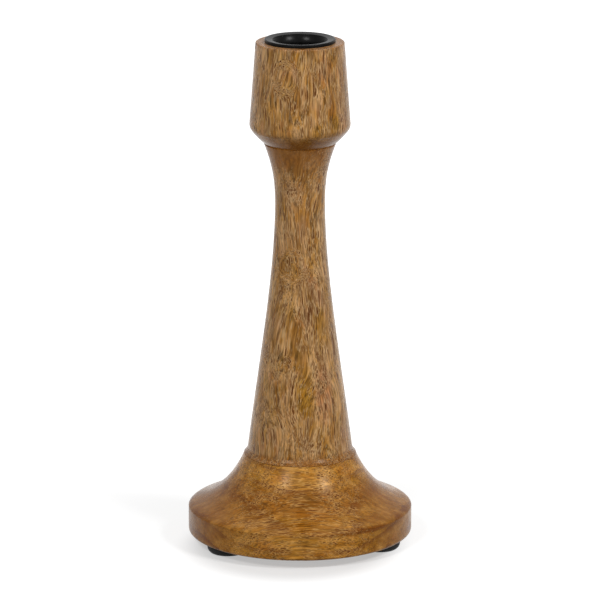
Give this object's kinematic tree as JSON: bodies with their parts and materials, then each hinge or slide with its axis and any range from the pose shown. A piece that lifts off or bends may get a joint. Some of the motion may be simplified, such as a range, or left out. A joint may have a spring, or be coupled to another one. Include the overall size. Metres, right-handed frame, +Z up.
{
  "type": "candlestick",
  "caption": "Turned wooden candlestick with a waisted stem, a round spreading base on rubber feet and a flanged metal socket for one candle.",
  "frame": {"origin": "on the turning axis, at the floor under the three feet", "axes": "+Z up along the turning axis, out of the candle socket; -Y towards the viewer of the picture; +X to that viewer's right"},
  "size_m": [0.0874, 0.0874, 0.1997],
  "materials": {
    "stem_wood": "satin lacquer over medium brown hardwood with fine dark pores",
    "base_wood": "satin lacquer over warmer brown hardwood with its grain lying flat",
    "dowel_wood": "bare pale hardwood",
    "black_metal": "semi-gloss black coating on drawn sheet steel",
    "screw_steel": "bright zinc-plated",
    "foot_rubber": "matt black moulded rubber"
  },
  "bodies": {
    "root": {"base": "base_wood", "stem": "stem_wood", "cup": "stem_wood", "cup_dowel": "dowel_wood", "socket_insert": "black_metal", "insert_screw": "screw_steel", "base_screw": "screw_steel", "foot_left": "foot_rubber", "foot_right": "foot_rubber", "foot_rear": "foot_rubber", "foot_screw_left": "screw_steel", "foot_screw_right": "screw_steel", "foot_screw_rear": "screw_steel"}
  },
  "joints": []
}
